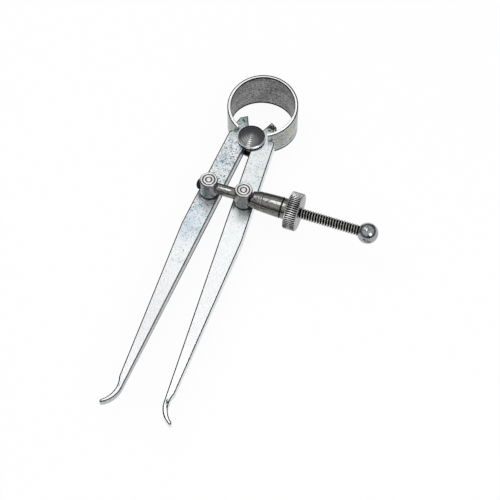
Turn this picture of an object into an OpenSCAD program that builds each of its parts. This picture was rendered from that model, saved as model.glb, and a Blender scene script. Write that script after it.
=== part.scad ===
// Inside spring caliper: two flat legs that swing on a fulcrum stud, closed at the top by a bow spring
// and set by a screw and nut between two swivelling posts. Sizes are in millimetres.
// The origin is the bow's centre at the level of its rear edge; the legs point along -Y, the screw along +X.

/* [Legs] */
// Fulcrum axis to the tip of the foot, along the leg
leg_length = 127; // [110:1:150]
// Width of the leg from the shoulder to below the post
leg_width = 8.6; // [8:0.1:9.5]
// Thickness of the leg at the post
leg_thickness = 5; // [4:0.1:6]
// Thickness of the leg at the foot
foot_thickness = 3; // [2:0.1:3.6]
// Distance of the inner edge from the fulcrum axis
leg_half_gap = 1.1; // [0.8:0.1:1.6]
// Angle that each leg stands open in the stored pose
leg_open = 3.4; // [2:0.1:6]
// Distance below the fulcrum where the outer edge starts to taper
taper_start = 47; // [42:1:60]
// Distance below the fulcrum where the faces start to taper
face_taper_start = 40; // [36:1:60]
// Width that the outer edge tapers to at the ankle
shank_end_width = 2.6; // [2.3:0.1:3.5]
// Rounding of the outer shoulder under the bow
shoulder_radius = 1.4; // [1:0.1:2]

/* [Feet] */
// Radius of the foot's convex side
foot_bend_radius = 9.5; // [8:0.5:12]
// Angle that the foot turns outward
foot_turn = 58; // [45:1:65]
// Width of the foot where the bend starts
ankle_width = 2.1; // [1.8:0.1:2.3]
// Width of the rounded nib
nib_width = 1.2; // [0.9:0.1:1.6]

/* [Bow spring] */
// Outer radius of the bow
bow_radius = 14.4; // [14:0.1:15.5]
// Thickness of the spring strip
bow_wall = 1.4; // [1:0.05:1.6]
// Width of the spring strip at the top of the bow
bow_width = 18; // [15:0.5:20]
// Width of the spring strip at the prong tips
bow_end_width = 11.4; // [10:0.1:14]
// Height of the bow's centre above the fulcrum axis
bow_rise = 13.9; // [13.6:0.1:15]
// Half angle of the gap between the prong tips
prong_angle = 27; // [26:0.1:28.5]
// Angle from the gap's middle to the floor of the leg's notch
notch_angle = 33.5; // [32:0.5:36]

/* [Leg hooks] */
// Angle about the fulcrum where the hook's inner edge starts
hook_foot_angle = 34; // [32:1:42]
// Outward lean of the hook's inner edge
hook_lean = 27; // [24:1:30]
// Length of the hook along its inner edge
hook_length = 7.6; // [6.5:0.1:8]
// Width of the hook's top
hook_top = 3.2; // [2.6:0.1:3.6]
// Slope of the hook's top
hook_top_slope = 36; // [30:1:40]
// Angle about the bow's centre where the hook's outer edge meets the strip
hook_root_angle = 44; // [41:1:48]

/* [Fulcrum] */
// Diameter of the roller that the legs swing on
roller_diameter = 8; // [7:0.1:8.4]
// Diameter of the front head
fulcrum_head = 11.2; // [10:0.1:11.3]
// Thickness of the front head
fulcrum_head_thickness = 2.4; // [1.6:0.05:3]
// Diameter of the rear cap
rear_cap_diameter = 9.6; // [9:0.1:11]
// Thickness of the rear cap
rear_cap_thickness = 1.5; // [1:0.1:2]
// Diameter of the stud's tail in the rear cap
tail_diameter = 3.2; // [2.5:0.1:4]

/* [Posts] */
// Distance of the post's axis below the fulcrum, along the leg
post_along = 29.8; // [26:0.1:34]
// Diameter of the post's body
post_diameter = 7.1; // [6.6:0.1:7.6]
// Height of the post above the leg's front face
post_height = 9; // [8:0.1:10]
// Diameter of the stem that swivels in the leg
stem_diameter = 4.5; // [3.5:0.1:5]
// Diameter of the washer on the leg's rear face
washer_diameter = 7.6; // [7:0.1:9]
// Thickness of the washer
washer_thickness = 0.8; // [0.5:0.1:1.2]
// Diameter of the riveted end of the stem
rivet_diameter = 6; // [5.4:0.1:6.8]
// Height of the riveted end
rivet_height = 1; // [0.6:0.1:1.4]

/* [Adjusting screw] */
// Outside diameter of the screw
screw_diameter = 4.5; // [4:0.1:4.8]
// Height of the screw's axis above the leg's front face
screw_height = 4.2; // [3.8:0.1:4.8]
// Length of the screw beyond the left post
screw_stub = 1.5; // [0.5:0.1:3]
// Distance of the ball's centre from the fulcrum plane
ball_reach = 57.5; // [54:0.5:66]
// Diameter of the ball end
ball_diameter = 8.2; // [7:0.1:10]
// Depth of the screw's shoulder in the ball
ball_seat = 1; // [0.8:0.1:1.4]
// Diameter of the spigot that holds the ball
spigot_diameter = 3.2; // [2.4:0.1:3.6]
// Length of the spigot beyond the screw's shoulder
spigot_length = 4; // [3:0.1:5]

/* [Adjusting nut] */
// Length of the thrust sleeve
sleeve_length = 12.3; // [11:0.1:14]
// Diameter of the sleeve's end at the post
sleeve_nose = 6.2; // [5.8:0.1:6.8]
// Diameter of the sleeve where its rounded nose ends
sleeve_shoulder = 7.7; // [7.2:0.1:8]
// Length of the sleeve's rounded nose
sleeve_nose_length = 3; // [2:0.1:4]
// Diameter of the sleeve's end at the nut
sleeve_mouth = 8.5; // [8.2:0.1:9]
// Wall of the sleeve at its mouth
sleeve_wall = 0.8; // [0.6:0.05:1]
// Depth of the tapered socket in the sleeve
socket_depth = 7.2; // [6:0.1:8]
// Narrowing of the socket's radius towards the post
socket_taper = 0.5; // [0.3:0.05:0.7]
// Gap between the nut's nose and the socket's floor
nose_gap = 0.3; // [0.2:0.05:0.6]
// Width of the slits in the nut's nose
slit_width = 0.5; // [0.3:0.1:0.8]
// Length of the nut's nose that stays whole behind the slits
slit_stop = 1; // [0.5:0.1:2]
// Length of the nut's neck between the sleeve and the knurled disc
neck_length = 2.2; // [1.5:0.1:3]
// Diameter of the nut's neck
neck_diameter = 8.4; // [7.6:0.1:8.6]
// Diameter of the knurled disc
nut_diameter = 15; // [13:0.1:17]
// Width of the knurled disc
nut_width = 5.1; // [4:0.1:6]

/* [Fits and edges] */
// Radial clearance of the turning and sliding fits
running_fit = 0.05; // [0.02:0.01:0.08]
// Side clearance between a leg and the faces that hold it
side_fit = 0.05; // [0.03:0.01:0.1]
// Clearance of the spring strip in a leg's notch
notch_fit = 0.1; // [0.05:0.01:0.15]
// Chamfer on turned edges
edge_chamfer = 0.4; // [0.2:0.05:0.6]

/* [Hidden] */
$fn = 96;

half_leg = leg_thickness / 2;
leg_mid_z = bow_width / 2;
leg_outer = leg_half_gap + leg_width;
foot_start = leg_length - foot_bend_radius * sin(foot_turn);

// Seat of the bow, as a leg sees it before it is turned to its stored opening
bow_in_leg = bow_rise * [sin(leg_open), cos(leg_open)];
bow_inner = bow_radius - bow_wall;
notch_in_leg = notch_angle - leg_open;
shoulder_x = leg_outer - shoulder_radius;
shoulder_reach = bow_radius + notch_fit + shoulder_radius;
shoulder_y = bow_in_leg[1] - sqrt(shoulder_reach ^ 2 - (shoulder_x - bow_in_leg[0]) ^ 2);
roller_seat = roller_diameter / 2 + running_fit;

// Post axis in the leg and in the stored pose, from the fulcrum
post_in_leg = [leg_half_gap + leg_width / 2, -post_along];
post_x = post_in_leg[0] * cos(leg_open) + post_along * sin(leg_open);
post_y = post_in_leg[0] * sin(leg_open) - post_along * cos(leg_open);
stem_bottom = -half_leg - 2 * side_fit - washer_thickness;

// Places along the screw, from the fulcrum plane
screw_z = half_leg + screw_height;
screw_radius = screw_diameter / 2;
sleeve_start = post_x + post_diameter / 2;
sleeve_end = sleeve_start + sleeve_length;
neck_start = sleeve_end + side_fit;
disc_start = neck_start + neck_length;
disc_end = disc_start + nut_width;
thread_bore = screw_diameter + 2 * running_fit;
socket_start = sleeve_end - socket_depth;
nose_step = 18;
nose_wide = sleeve_mouth / 2 - sleeve_wall - running_fit;
nose_narrow = nose_wide - socket_taper;
screw_shoulder = ball_reach - ball_diameter / 2 + ball_seat;
spigot_end = screw_shoulder + spigot_length;

steel = [0.78, 0.79, 0.80];
spring_steel = [0.62, 0.63, 0.65];
dark_steel = [0.30, 0.30, 0.32];
chrome = [0.86, 0.87, 0.88];

// Point at a distance from a centre, by the angle from -Y towards +X
function below(centre, distance, angle) = centre + distance * [sin(angle), -cos(angle)];

// Moves a child from the fulcrum, on the legs' middle plane, to its place in the stored frame
module at_fulcrum() {
    translate([0, -bow_rise, leg_mid_z]) children();
}

// Mirrors a child to the left side
module on_side(side) {
    mirror([side < 0 ? 1 : 0, 0, 0]) children();
}

// Turns a profile of [radius, place along the screw] about the screw's axis
module on_screw() {
    at_fulcrum() translate([0, post_y, screw_z]) rotate([0, 90, 0]) rotate_extrude() children();
}

// Part of a ring between two angles from -Y, about the bow's centre
module strip_sector(from, to, inner, outer, bottom, top) {
    rotate([0, 0, from - 90]) rotate_extrude(angle = to - from)
        translate([inner, bottom]) square([outer - inner, top - bottom]);
}

// One tapered strip rolled to an open ring, with a slot in each end that straddles a leg's neck
module bow_spring() color(spring_steel) difference() {
    intersection() {
        strip_sector(prong_angle, 360 - prong_angle, bow_inner, bow_radius, 0, bow_width);
        rotate([90, 0, 90]) linear_extrude(4 * bow_radius, center = true) strip_side();
    }
    for (side = [-1, 1]) on_side(side) prong_slot();
}

// Side view of the bow: both rims close in evenly from the top to the prong tips
module strip_side() {
    tip_y = -bow_radius * cos(prong_angle);
    rise = (bow_width - bow_end_width) / 2;
    polygon([[bow_radius, 0], [bow_radius, bow_width], [tip_y, bow_width - rise], [tip_y, rise]]);
}

module prong_slot() {
    slot_end = notch_angle + asin(notch_fit / bow_inner);
    slot_half = half_leg + notch_fit;
    strip_sector(prong_angle - 2, slot_end, bow_inner - 1, bow_radius + 1,
        leg_mid_z - slot_half, leg_mid_z + slot_half);
}

// Straight tapered stretch of a leg, from the shoulder to the ankle
module blade_outline() {
    polygon([
        [leg_half_gap, shoulder_y],
        [leg_half_gap, -foot_start],
        [leg_half_gap + shank_end_width, -foot_start],
        [leg_outer, -taper_start],
        [leg_outer, shoulder_y]
    ]);
}

// Neck and outward-leaning hook above the shoulder
module hook_outline() {
    foot_of_hook = roller_seat * [sin(hook_foot_angle), cos(hook_foot_angle)];
    inner_top = foot_of_hook + hook_length * [sin(hook_lean), cos(hook_lean)];
    outer_top = inner_top + hook_top * [cos(hook_top_slope), -sin(hook_top_slope)];
    polygon([
        [leg_half_gap, shoulder_y],
        [shoulder_x, shoulder_y],
        below(bow_in_leg, bow_radius - bow_wall / 2, notch_in_leg + 3),
        below(bow_in_leg, bow_inner - notch_fit, hook_root_angle - leg_open),
        outer_top,
        inner_top,
        foot_of_hook
    ]);
    translate([shoulder_x, shoulder_y]) circle(shoulder_radius);
}

// Slot in the leg's outer edge for the spring strip, up to the notch's floor
module notch_outline() {
    reach = 2 * bow_radius;
    translate(bow_in_leg) intersection() {
        difference() {
            circle(bow_radius + notch_fit);
            circle(bow_inner - notch_fit);
        }
        polygon([[0, 0], below([0, 0], reach, notch_in_leg), below([0, 0], reach, notch_in_leg + 60)]);
    }
}

// Outward turn of the foot, between a convex arc and a flatter concave one
module foot_outline() {
    centre = [leg_half_gap + foot_bend_radius, -foot_start];
    reach = 2 * foot_bend_radius;
    nib_end = centre - (foot_bend_radius - nib_width / 2) * [cos(foot_turn), sin(foot_turn)];
    intersection() {
        translate(centre) circle(foot_bend_radius);
        polygon([
            centre,
            centre - [reach, 0],
            centre - reach * [cos(foot_turn / 2), sin(foot_turn / 2)],
            centre - reach * [cos(foot_turn), sin(foot_turn)]
        ]);
    }
    translate(nib_end) circle(nib_width / 2);
}

// Hollow of the foot: its centre lies further out, so that the foot thins towards the nib
module foot_hollow() {
    shift = (ankle_width - nib_width) / (1 - cos(foot_turn));
    translate([leg_half_gap + foot_bend_radius + shift, -foot_start])
        circle(foot_bend_radius + shift - ankle_width);
}

module leg_outline() difference() {
    union() {
        blade_outline();
        hook_outline();
        foot_outline();
    }
    circle(roller_seat);
    notch_outline();
    foot_hollow();
    translate(post_in_leg) circle(stem_diameter / 2 + running_fit);
}

// Side view of a leg: both faces taper towards the foot
module leg_side() {
    half_foot = foot_thickness / 2;
    end = leg_length + nib_width;
    polygon([
        [bow_rise, -half_leg], [bow_rise, half_leg], [-face_taper_start, half_leg], [-foot_start, half_foot],
        [-end, half_foot], [-end, -half_foot], [-foot_start, -half_foot], [-face_taper_start, -half_leg]
    ]);
}

module leg(side) color(steel) at_fulcrum() on_side(side) rotate([0, 0, leg_open]) intersection() {
    linear_extrude(leg_thickness, center = true) leg_outline();
    rotate([90, 0, 90]) linear_extrude(4 * leg_width, center = true) leg_side();
}

module left_leg() leg(-1);

module right_leg() leg(1);

// Front head, roller between the legs and tail for the rear cap, turned in one piece
module fulcrum_stud() {
    head_r = fulcrum_head / 2;
    head_bottom = half_leg + side_fit;
    head_top = head_bottom + fulcrum_head_thickness;
    cap_top = -half_leg - side_fit;
    color(dark_steel) at_fulcrum() rotate_extrude() polygon([
        [0, cap_top - rear_cap_thickness],
        [tail_diameter / 2, cap_top - rear_cap_thickness],
        [tail_diameter / 2, cap_top],
        [roller_diameter / 2, cap_top],
        [roller_diameter / 2, head_bottom],
        [head_r, head_bottom],
        [head_r, head_top - edge_chamfer],
        [head_r - edge_chamfer, head_top],
        [0, head_top]
    ]);
}

module fulcrum_rear_cap() {
    cap_r = rear_cap_diameter / 2;
    cap_top = -half_leg - side_fit;
    color(dark_steel) at_fulcrum() rotate_extrude() polygon([
        [tail_diameter / 2, cap_top - rear_cap_thickness],
        [cap_r - edge_chamfer, cap_top - rear_cap_thickness],
        [cap_r, cap_top - rear_cap_thickness + edge_chamfer],
        [cap_r, cap_top],
        [tail_diameter / 2, cap_top]
    ]);
}

// Swivelling post: body with a cross hole for the screw, stem through the leg and riveted end
module post(side, hole_diameter) color(steel) at_fulcrum() on_side(side) translate([post_x, post_y, 0])
    difference() {
        rotate_extrude() post_profile();
        translate([0, 0, screw_z]) rotate([0, 90, 0])
            cylinder(h = 2 * post_diameter, d = hole_diameter, center = true);
    }

module post_profile() {
    body_r = post_diameter / 2;
    stem_r = stem_diameter / 2;
    rivet_r = rivet_diameter / 2;
    body_bottom = half_leg + side_fit;
    body_top = half_leg + post_height;
    polygon([
        [0, stem_bottom - rivet_height],
        [rivet_r - rivet_height / 2, stem_bottom - rivet_height],
        [rivet_r, stem_bottom - rivet_height / 2],
        [rivet_r, stem_bottom],
        [stem_r, stem_bottom],
        [stem_r, body_bottom],
        [body_r, body_bottom],
        [body_r, body_top - edge_chamfer],
        [body_r - edge_chamfer, body_top],
        [0, body_top]
    ]);
}

module left_post() post(-1, screw_diameter);

module right_post() post(1, thread_bore);

// Loose washer between a leg's rear face and the riveted end
module post_washer(side) color(steel) at_fulcrum() on_side(side)
    translate([post_x, post_y, stem_bottom]) difference() {
        cylinder(h = washer_thickness + side_fit, d = washer_diameter);
        translate([0, 0, -1]) cylinder(h = washer_thickness + 2, d = stem_diameter);
    }

module left_post_washer() post_washer(-1);

module right_post_washer() post_washer(1);

// Screw fixed in the left post, with a spigot for the ball; its thread is left to the visual
module adjusting_screw() {
    left_end = -post_x - post_diameter / 2 - screw_stub;
    color(dark_steel) on_screw() polygon([
        [0, left_end],
        [screw_radius - edge_chamfer, left_end],
        [screw_radius, left_end + edge_chamfer],
        [screw_radius, screw_shoulder],
        [spigot_diameter / 2, screw_shoulder],
        [spigot_diameter / 2, spigot_end],
        [0, spigot_end]
    ]);
}

// Ball pressed on the screw's end, with a counterbored blind hole
module ball_end() color(chrome) at_fulcrum() translate([0, post_y, screw_z]) rotate([0, 90, 0]) difference() {
    translate([0, 0, ball_reach]) sphere(d = ball_diameter);
    cylinder(h = screw_shoulder, d = screw_diameter);
    cylinder(h = spigot_end, d = spigot_diameter);
}

// Point on the sleeve's rounded nose, a quarter ellipse from the post to the shoulder
function nose_point(angle) = [
    sleeve_nose / 2 + (sleeve_shoulder - sleeve_nose) / 2 * sin(angle),
    sleeve_start + sleeve_nose_length * (1 - cos(angle))
];

// Tapered cup that takes the nut's thrust to the right post
module thrust_sleeve() color(dark_steel) on_screw() polygon([
    [thread_bore / 2, sleeve_start],
    each [for (angle = [0 : nose_step : 90]) nose_point(angle)],
    [sleeve_mouth / 2, sleeve_end],
    [nose_wide + running_fit, sleeve_end],
    [nose_narrow + running_fit, socket_start],
    [thread_bore / 2, socket_start]
]);

// Knurled disc, neck and split nose that closes on the screw in the sleeve's socket
module adjusting_nut() color(steel) difference() {
    on_screw() nut_profile();
    at_fulcrum() translate([socket_start, post_y, screw_z])
        for (turn = [0, 90]) rotate([turn, 0, 0]) nose_slit();
}

module nut_profile() {
    disc_r = nut_diameter / 2;
    polygon([
        [thread_bore / 2, socket_start + nose_gap],
        [nose_narrow, socket_start + nose_gap],
        [nose_wide, neck_start],
        [neck_diameter / 2, neck_start],
        [neck_diameter / 2, disc_start],
        [disc_r - edge_chamfer, disc_start],
        [disc_r, disc_start + edge_chamfer],
        [disc_r, disc_end - edge_chamfer],
        [disc_r - edge_chamfer, disc_end],
        [thread_bore / 2, disc_end]
    ]);
}

module nose_slit() {
    translate([0, -slit_width / 2, -neck_diameter])
        cube([socket_depth - slit_stop, slit_width, 2 * neck_diameter]);
}

bow_spring();
left_leg();
right_leg();
fulcrum_stud();
fulcrum_rear_cap();
left_post();
left_post_washer();
right_post();
right_post_washer();
adjusting_screw();
ball_end();
thrust_sleeve();
adjusting_nut();
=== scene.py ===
"""Inside spring caliper: dressed pieces, their finishes, the studio and the camera.

Sizes repeat the part's own driving dimensions in millimetres; MM turns them to metres.
"""

import bmesh
import bpy
import numpy as np
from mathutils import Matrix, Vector


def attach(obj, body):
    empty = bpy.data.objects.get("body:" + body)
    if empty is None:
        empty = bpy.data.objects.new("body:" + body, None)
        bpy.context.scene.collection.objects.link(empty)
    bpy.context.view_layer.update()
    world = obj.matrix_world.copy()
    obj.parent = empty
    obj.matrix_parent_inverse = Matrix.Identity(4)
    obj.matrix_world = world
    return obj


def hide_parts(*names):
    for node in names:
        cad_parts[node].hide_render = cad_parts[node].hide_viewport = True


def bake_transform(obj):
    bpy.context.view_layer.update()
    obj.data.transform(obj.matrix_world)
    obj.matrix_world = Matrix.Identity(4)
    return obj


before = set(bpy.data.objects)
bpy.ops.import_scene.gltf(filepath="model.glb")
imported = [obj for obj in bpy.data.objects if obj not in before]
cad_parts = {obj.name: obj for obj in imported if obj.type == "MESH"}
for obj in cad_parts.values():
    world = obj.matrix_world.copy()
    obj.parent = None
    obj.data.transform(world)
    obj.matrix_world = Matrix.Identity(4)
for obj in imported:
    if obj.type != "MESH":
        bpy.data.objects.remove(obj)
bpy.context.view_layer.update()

MM = 0.001

# Legs, from the fulcrum axis
LEG_LENGTH = 127.0
LEG_WIDTH = 8.6
LEG_THICKNESS = 5.0
FOOT_THICKNESS = 3.0
LEG_HALF_GAP = 1.1
LEG_OPEN = np.radians(3.4)
TAPER_START = 47.0
FACE_TAPER_START = 40.0
SHANK_END_WIDTH = 2.6
SHOULDER_RADIUS = 1.4
LEG_EDGE_ROUND = 0.5
LEG_EDGE_STEPS = np.radians([0, 45, 70, 90])
# A line of painted shade at the foot of the left leg's side: its height, its least height and where it ends
LEG_LINE = 1.2
LEG_LINE_LEAST = 0.05
LEG_LINE_END = 112.0

# Feet
FOOT_BEND_RADIUS = 9.5
FOOT_TURN = np.radians(58)
ANKLE_WIDTH = 2.1
NIB_WIDTH = 1.2

# Bow spring and the seat that each leg has for it
BOW_RADIUS = 14.4
BOW_WALL = 1.4
BOW_WIDTH = 18.0
BOW_END_WIDTH = 11.4
BOW_RISE = 13.9
BOW_OUTER_ROUND = 0.45
BOW_TOP_ROUND = 0.78
BOW_INNER_ROUND = 0.18
# Heights of the black lines of painted shade along the bow's lower edges and its front inner edge
BOW_LINE = 1.0
BOW_FRONT_LINE = 0.8
PRONG_ANGLE = np.radians(27)
NOTCH_ANGLE = np.radians(33.5)
HOOK_FOOT_ANGLE = np.radians(34)
HOOK_LEAN = np.radians(27)
HOOK_LENGTH = 7.6
HOOK_TOP = 3.2
HOOK_TOP_SLOPE = np.radians(36)
HOOK_ROOT_ANGLE = np.radians(44)
NOTCH_FIT = 0.1
SLOT_MARGIN = 0.1
SLOT_BLOCK = 6

# Fulcrum
ROLLER_DIAMETER = 8.0
FULCRUM_HEAD = 11.2
FULCRUM_HEAD_THICKNESS = 2.4
HEAD_DOME = 0.8
HEAD_EDGE = 0.3
HEAD_PIP = 0.7
HEAD_RING_SPACING = 0.95
HEAD_RING_DEPTH = 0.06
# Painted highlight on the head's rings and pip, as shares of its light depth colour
HEAD_RING_PAINT = 0.08
HEAD_PIP_PAINT = 0.4
# Shares of the head's thickness between which its rim is black, painted shade; above them the rim is bright,
# a painted highlight
HEAD_RIM_START = 0.02
HEAD_DARK_SHARE = 0.32
STUD_EDGE = 0.08
REAR_CAP_DIAMETER = 9.6
REAR_CAP_THICKNESS = 1.5
REAR_CAP_EDGE = 0.15
TAIL_DIAMETER = 3.2

# Posts
POST_ALONG = 29.8
POST_DIAMETER = 7.1
POST_HEIGHT = 9.0
STEM_DIAMETER = 4.5
WASHER_DIAMETER = 7.6
WASHER_THICKNESS = 0.8
WASHER_EDGE = 0.18
POST_RINGS = np.array([1.15, 2.35])
POST_RING_WIDTH = 0.26
POST_RING_DEPTH = 0.16
# Height of the post's black foot, a painted shadow where it meets the leg
POST_FOOT = 0.7
POST_EDGE = 0.12
POST_HEAD_STEP = 0.15
RIVET_DIAMETER = 6.0
RIVET_HEIGHT = 1.0

# Adjusting screw
SCREW_DIAMETER = 4.5
SCREW_HEIGHT = 4.2
SCREW_STUB = 1.5
THREAD_PITCH = 1.058
THREAD_DEPTH = 0.5
THREAD_FLANK = 1.25
THREAD_CREST = 0.15
THREAD_SHADE_START = 0.12
THREAD_SHADE_RANGE = 0.36
BALL_REACH = 57.5
BALL_DIAMETER = 8.2
BALL_SEAT = 1.0

# Adjusting nut and its sleeve
SLEEVE_LENGTH = 12.3
SLEEVE_NOSE = 6.2
SLEEVE_SHOULDER = 7.7
SLEEVE_NOSE_LENGTH = 3.0
SLEEVE_MOUTH = 8.5
SLEEVE_WALL = 0.8
SLEEVE_GROOVES = np.array([3.5, 4.3])
SLEEVE_GROOVE_WIDTH = 0.1
SLEEVE_GROOVE_DEPTH = 0.09
SOCKET_DEPTH = 7.2
SOCKET_TAPER = 0.5
NOSE_GAP = 0.3
NECK_LENGTH = 2.2
NECK_DIAMETER = 8.4
NUT_DIAMETER = 15.0
NUT_WIDTH = 5.1
JOINT_BEVEL = 0.3
KNURL_TEETH = 54
KNURL_PITCH = 15.0
KNURL_DEPTH = 0.45
KNURL_RIM_SHARE = 0.6
KNURL_SHADE_START = 0.28
KNURL_SHADE_RANGE = 0.34
NUT_CORNER = 0.1
BORE_CHAMFER = 0.5

RUNNING_FIT = 0.05
SIDE_FIT = 0.05
TURNED_EDGE = 0.4

# Shares of a unit normal by which faces are told apart
FACE_LEVEL = 0.97
WALL_FACING = 0.9
OUTSIDE_FACING = 0.8
LIT_EDGE_LEVEL = 0.85
SHADED_EDGE_LEVEL = 0.4
OUTER_EDGE_LEVEL = 0.6
INNER_EDGE_LEVEL = 0.1

# Places worked out from the sizes above
HALF_LEG = LEG_THICKNESS / 2
LEG_MID_Z = BOW_WIDTH / 2
FULCRUM = np.array([0.0, -BOW_RISE, LEG_MID_Z])
LEG_OUTER = LEG_HALF_GAP + LEG_WIDTH
FOOT_START = LEG_LENGTH - FOOT_BEND_RADIUS * np.sin(FOOT_TURN)
BOW_INNER = BOW_RADIUS - BOW_WALL
ROLLER_SEAT = ROLLER_DIAMETER / 2 + RUNNING_FIT
POST_IN_LEG = np.array([LEG_HALF_GAP + LEG_WIDTH / 2, -POST_ALONG])
POST_X = POST_IN_LEG[0] * np.cos(LEG_OPEN) + POST_ALONG * np.sin(LEG_OPEN)
POST_Y = POST_IN_LEG[0] * np.sin(LEG_OPEN) - POST_ALONG * np.cos(LEG_OPEN)
SCREW_AXIS = FULCRUM + [0, POST_Y, HALF_LEG + SCREW_HEIGHT]
THREAD_START = POST_X
SLEEVE_START = POST_X + POST_DIAMETER / 2
SLEEVE_END = SLEEVE_START + SLEEVE_LENGTH
NECK_START = SLEEVE_END + SIDE_FIT
DISC_START = NECK_START + NECK_LENGTH
DISC_END = DISC_START + NUT_WIDTH
BORE_RADIUS = SCREW_DIAMETER / 2 + RUNNING_FIT
SOCKET_START = SLEEVE_END - SOCKET_DEPTH
NOSE_WIDE = SLEEVE_MOUTH / 2 - SLEEVE_WALL - RUNNING_FIT
NOSE_NARROW = NOSE_WIDE - SOCKET_TAPER


# Mesh building

MERGE_DISTANCE = 1e-7
SHORTEST_EDGE = 1e-9
CORNER_SHARE = 0.49
CORNER_STEPS = 4
MITRE_LIMIT = 0.4
SHARP_ANGLE = np.radians(38)
TURNED_SEGMENTS = 96
ROD_SEGMENTS = 64


def grid_faces(rows, cols, wrap_rows=False):
    """Quads of a rows by cols grid of points. The last column joins the first, and so may the last row."""
    i = np.arange(rows if wrap_rows else rows - 1)[:, None]
    j = np.arange(cols)[None, :]
    after_i = (i + 1) % rows
    after_j = (j + 1) % cols
    quads = np.stack([i * cols + j, i * cols + after_j, after_i * cols + after_j, after_i * cols + j], -1)
    return quads.reshape(-1, 4)


def write_depth(mesh, depth):
    """Puts a value for each point into a mesh as its depth attribute."""
    mesh.attributes.new("depth", "FLOAT", "POINT").data.foreach_set("value", np.asarray(depth, np.float32))


def new_object(name, points, faces, depth=None):
    """Mesh object from points in mm and faces, with doubles merged and normals turned outward."""
    mesh = bpy.data.meshes.new(name)
    mesh.from_pydata((np.asarray(points) * MM).tolist(), [], faces)
    if depth is not None:
        write_depth(mesh, depth)
    work = bmesh.new()
    work.from_mesh(mesh)
    bmesh.ops.remove_doubles(work, verts=work.verts, dist=MERGE_DISTANCE)
    bmesh.ops.recalc_face_normals(work, faces=work.faces)
    work.to_mesh(mesh)
    work.free()
    piece = bpy.data.objects.new(name, mesh)
    bpy.context.scene.collection.objects.link(piece)
    return piece


def cut(piece, cutter):
    """Takes the cutter's volume out of a piece, and deletes the cutter."""
    tool = piece.modifiers.new("cut", "BOOLEAN")
    tool.operation = "DIFFERENCE"
    tool.solver = "EXACT"
    tool.object = cutter
    result = bpy.data.meshes.new_from_object(piece.evaluated_get(bpy.context.evaluated_depsgraph_get()))
    piece.modifiers.clear()
    piece.data = result
    result.name = piece.name
    bpy.data.objects.remove(cutter)
    return piece


def paint(piece, depth_at):
    """Writes a piece's depth attribute, by a function of its points in mm."""
    mesh = piece.data
    points = np.zeros(len(mesh.vertices) * 3)
    mesh.vertices.foreach_get("co", points)
    write_depth(mesh, depth_at(points.reshape(-1, 3) / MM))
    return piece


def dress(piece, materials, choose=None, flat_first=False):
    """Gives a piece its materials and its shading. choose turns face centres in mm and normals into
    indices. Faces of the first material can be shaded flat, where they are planes beside rounded edges."""
    mesh = piece.data
    mesh.materials.clear()
    for material in materials:
        mesh.materials.append(material)
    count = len(mesh.polygons)
    normals = np.zeros(count * 3)
    centres = np.zeros(count * 3)
    mesh.polygons.foreach_get("normal", normals)
    mesh.polygons.foreach_get("center", centres)
    index = np.zeros(count, int)
    if choose:
        index = choose(centres.reshape(-1, 3) / MM, normals.reshape(-1, 3)).astype(int)
    mesh.polygons.foreach_set("material_index", index)
    mesh.set_sharp_from_angle(angle=SHARP_ANGLE)
    mesh.polygons.foreach_set("use_smooth", (index > 0) | (not flat_first))
    mesh.update()
    return piece


def place(piece, body, node):
    """Lets a piece ride on a body and stand for a CAD node, whose part is hidden."""
    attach(piece, body)
    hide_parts(node)
    return piece


def rounded(corners, radius, closed=False):
    """Outline with its corners rounded: each corner gives way to a parabola that starts and ends at most
    half an edge away from it. One radius serves all corners, or each has its own."""
    corners = np.asarray(corners, float)
    before = np.roll(corners, 1, 0) - corners
    after = np.roll(corners, -1, 0) - corners
    back = np.maximum(np.linalg.norm(before, axis=1), SHORTEST_EDGE)
    ahead = np.maximum(np.linalg.norm(after, axis=1), SHORTEST_EDGE)
    reach = np.minimum(radius, CORNER_SHARE * np.minimum(back, ahead))
    if not closed:
        reach[[0, -1]] = 0
    start = corners + before / back[:, None] * reach[:, None]
    end = corners + after / ahead[:, None] * reach[:, None]
    t = np.linspace(0, 1, CORNER_STEPS + 1)[None, :, None]
    curve = (1 - t) ** 2 * start[:, None] + 2 * t * (1 - t) * corners[:, None] + t ** 2 * end[:, None]
    return curve.reshape(-1, 2)


def revolve(profile, centre, along, segments):
    """Points of a turned surface: each profile point (radius, place) goes round the axis through centre."""
    turn = np.linspace(0, 2 * np.pi, segments, endpoint=False)
    radius, place_along = np.asarray(profile, float).T
    side = radius[:, None] * np.cos(turn)
    other = radius[:, None] * np.sin(turn)
    axial = np.repeat(place_along[:, None], segments, 1)
    stacked = (side, other, axial) if along == "Z" else (axial, side, other)
    return np.stack(stacked, -1) + centre


def turned(name, profile, centre, along="Z", hollow=False, segments=TURNED_SEGMENTS):
    """Turned piece: a profile from axis to axis, or a closed one round a bore, carried round the axis."""
    points = revolve(profile, centre, along, segments)
    return new_object(name, points.reshape(-1, 3), grid_faces(len(profile), segments, hollow).tolist())


def wave(phase):
    """Triangle wave: 0 at whole numbers, 1 half way between them."""
    return 1 - np.abs(2 * (phase - np.floor(phase)) - 1)


# Legs

def arc(centre, radius, start, end, count):
    """Points of a circle from one angle to another, in radians from +X."""
    angle = np.linspace(start, end, count)
    return np.asarray(centre) + radius * np.stack([np.cos(angle), np.sin(angle)], 1)


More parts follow.
